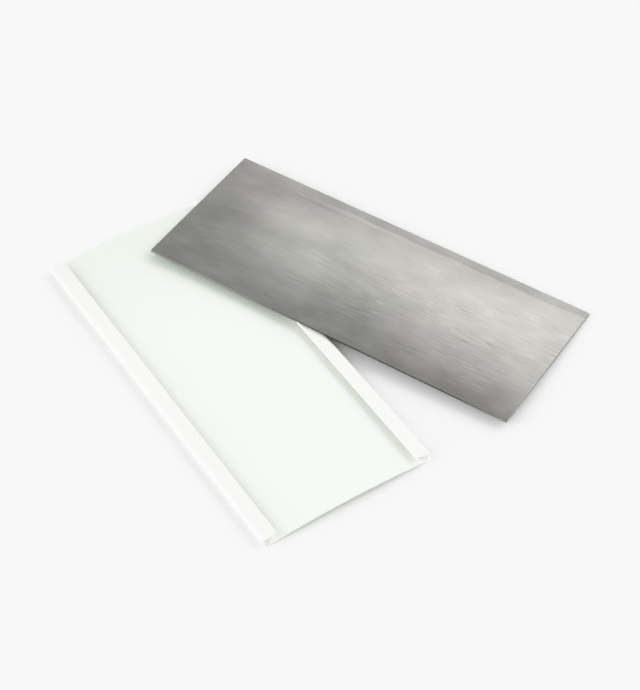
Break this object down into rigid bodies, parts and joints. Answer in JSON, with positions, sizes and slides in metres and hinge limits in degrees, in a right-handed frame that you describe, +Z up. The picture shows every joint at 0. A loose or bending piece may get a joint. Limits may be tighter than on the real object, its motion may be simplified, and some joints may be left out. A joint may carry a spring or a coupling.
{
  "type": "card scraper",
  "caption": "Rectangular sheet-steel card scraper for smoothing wood, lying askew across the folded rail of its channel-shaped plastic blade sleeve.",
  "frame": {"origin": "on the bench, at the middle of the rectangle that the plate and its sleeve cover as they lie", "axes": "+X across the sleeve, to the side where the plate hangs over; +Y along the sleeve, towards the end that the plate lies nearer to; +Z up"},
  "size_m": [0.1528, 0.162, 0.0059],
  "materials": {
    "scraper_steel": "milled along its length, satin",
    "sleeve_plastic": "extruded, satin"
  },
  "bodies": {
    "sleeve": {"blade_sleeve": "sleeve_plastic"},
    "scraper": {"scraper_plate": "scraper_steel"}
  },
  "joints": [
    {"name": "scraper_lift", "type": "slide", "parent": "sleeve", "child": "scraper", "axis": [0, 0, 1], "range_m": [0, 0.06]}
  ]
}
